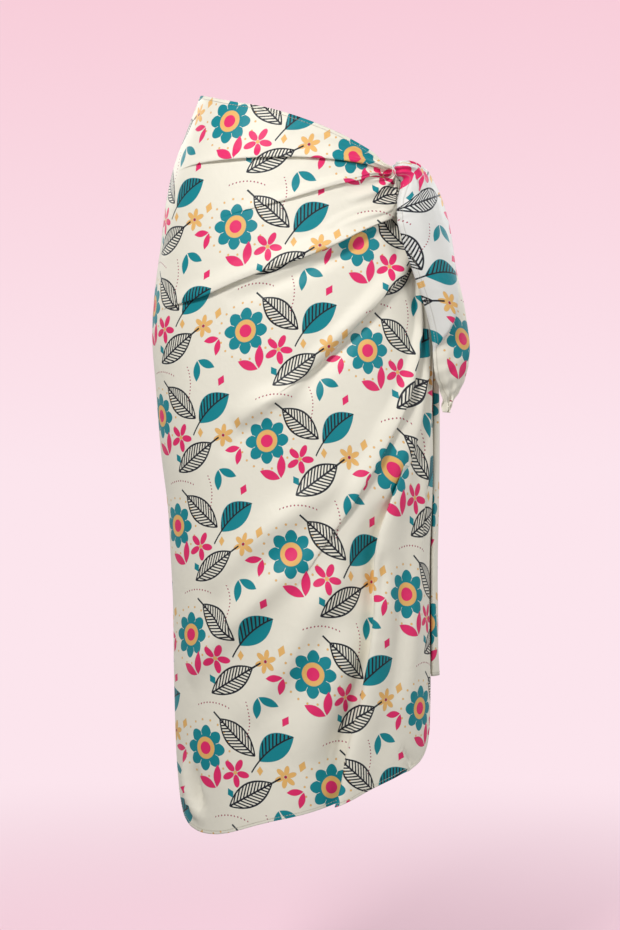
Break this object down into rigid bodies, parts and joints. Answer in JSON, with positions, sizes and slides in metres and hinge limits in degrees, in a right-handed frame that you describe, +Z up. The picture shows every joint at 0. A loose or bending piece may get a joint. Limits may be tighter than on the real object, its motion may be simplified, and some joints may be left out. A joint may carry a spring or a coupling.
{
  "type": "sarong",
  "caption": "Calf-length printed sarong in its worn wrap-skirt shape, tied at one hip, with a hanging corner and a side fall; open at waist and hem.",
  "frame": {"origin": "middle of the waist opening, at the height where the tilted top edge crosses the middle of the front", "axes": "+Z up along the body, -Y the front of the wearer, +X the viewer's right, where the knot is"},
  "size_m": [0.443, 0.2614, 1.0185],
  "materials": {
    "printed_cloth": "smooth printed satin weave with a soft sheen",
    "tail_cloth": "smooth printed satin weave, paler wrong side showing"
  },
  "bodies": {
    "root": {"front_wrap": "printed_cloth", "back_wrap": "printed_cloth", "knot": "tail_cloth", "front_tail": "tail_cloth", "back_tail": "tail_cloth"}
  },
  "joints": []
}
